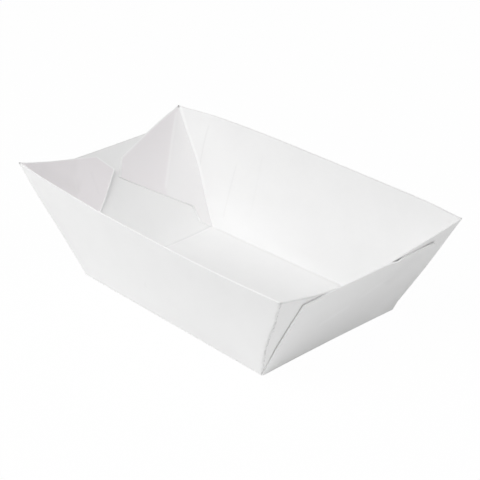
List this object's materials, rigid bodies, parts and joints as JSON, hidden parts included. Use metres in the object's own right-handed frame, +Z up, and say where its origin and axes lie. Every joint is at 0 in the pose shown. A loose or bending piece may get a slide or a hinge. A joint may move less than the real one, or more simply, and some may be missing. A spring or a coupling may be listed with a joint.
{
  "type": "paper food boat",
  "caption": "White folded paperboard food boat with an oblong flat base, flared bowed side walls, sloping end panels and glued corner flaps rising to pointed tips.",
  "frame": {"origin": "middle of the base's underside, which lies on the table", "axes": "+X along the boat's length, +Y across it towards the far side wall, +Z up out of the base"},
  "size_m": [0.164, 0.0862, 0.0437],
  "materials": {
    "board": "uncoated matt white board"
  },
  "bodies": {
    "root": {"tray": "board"}
  },
  "joints": []
}
